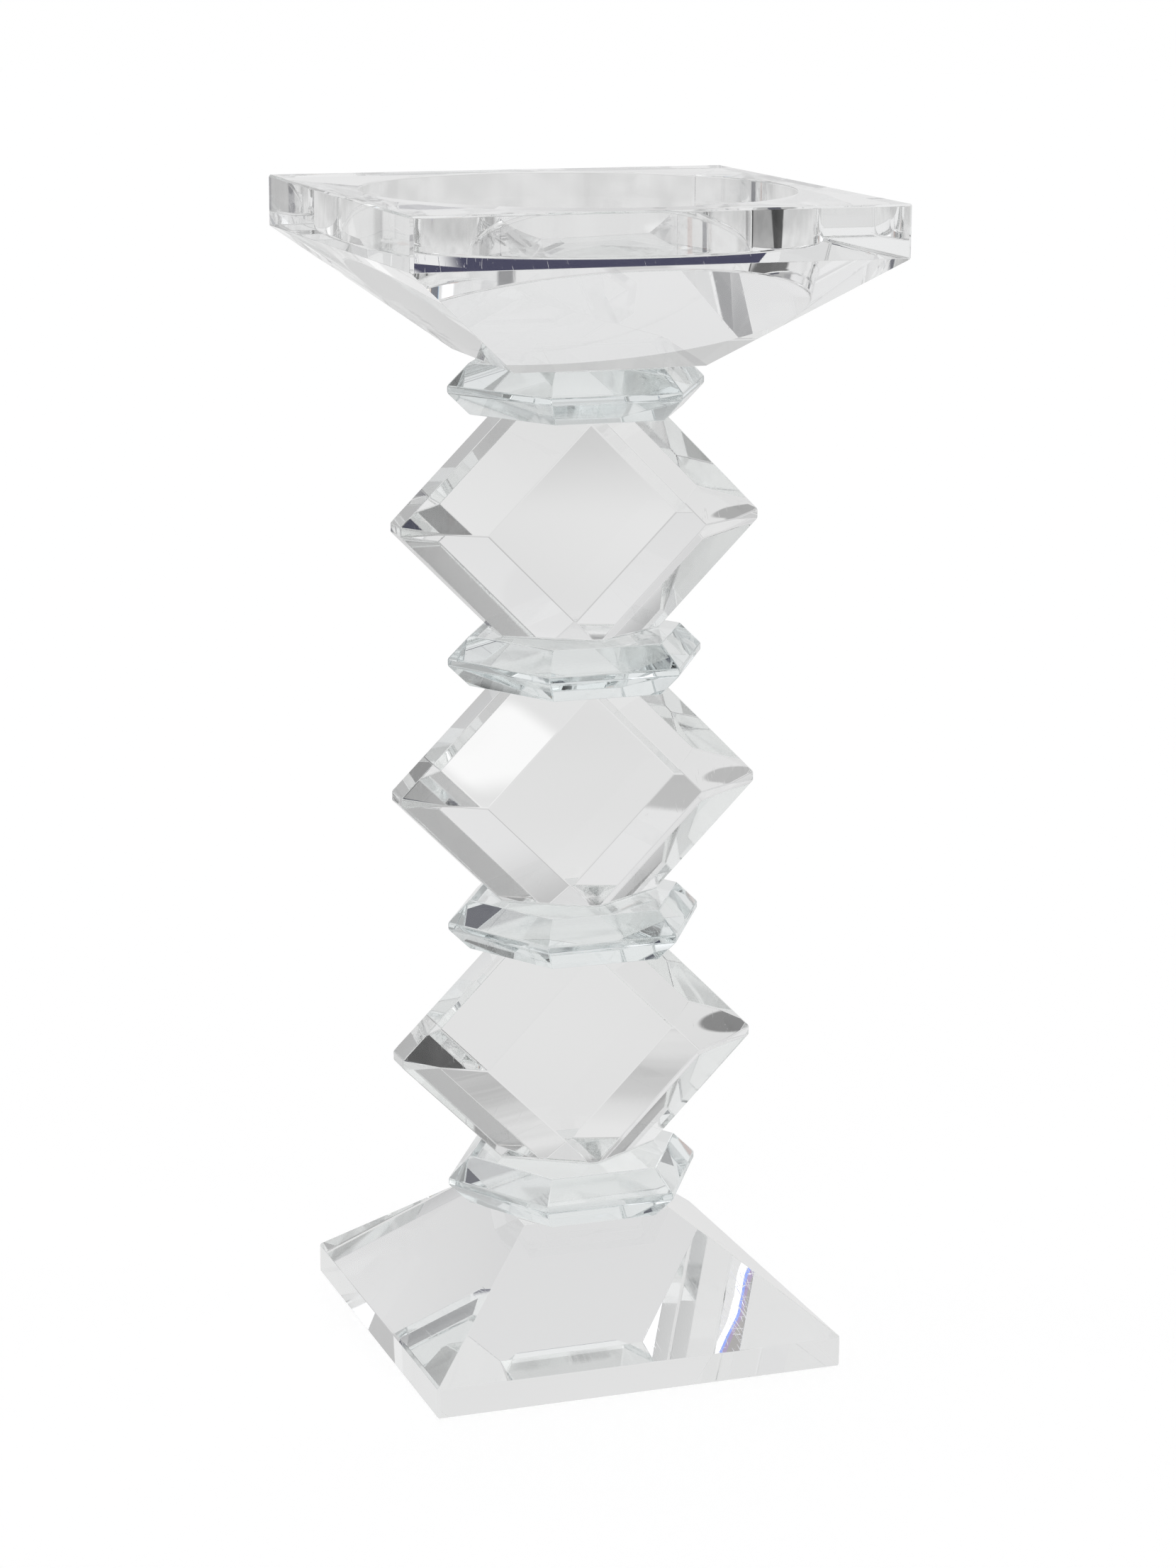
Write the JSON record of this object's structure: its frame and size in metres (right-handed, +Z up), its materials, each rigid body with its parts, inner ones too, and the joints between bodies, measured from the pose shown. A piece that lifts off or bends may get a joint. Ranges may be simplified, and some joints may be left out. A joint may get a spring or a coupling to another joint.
{
  "type": "pillar candlestick",
  "caption": "Clear cut-glass pillar candlestick: stepped square base, stacked diamond-set blocks with hexagonal spacers, and a square cup with a round candle recess.",
  "frame": {"origin": "middle of the base's underside, on the surface it stands on", "axes": "+Z up the stack; +X along the front edge of the base, in line with the blocks' side tips; -Y is the front, which the blocks' tables face"},
  "size_m": [0.128, 0.128, 0.3044],
  "materials": {
    "clear_glass": "polished clear crystal, ground flats and fine bevelled edges",
    "block_glass": "polished clear crystal, flat cut tables and bevels",
    "spacer_glass": "polished clear glass with a faint blue-green edge tint",
    "clear_bond": "clear cured adhesive film"
  },
  "bodies": {
    "root": {"base": "clear_glass", "bond_base": "clear_bond", "spacer_1": "spacer_glass", "block_1": "block_glass", "spacer_2": "spacer_glass", "block_2": "block_glass", "spacer_3": "spacer_glass", "block_3": "block_glass", "spacer_4": "spacer_glass", "bond_blocks": "clear_bond", "bond_cup": "clear_bond", "candle_cup": "clear_glass"}
  },
  "joints": []
}
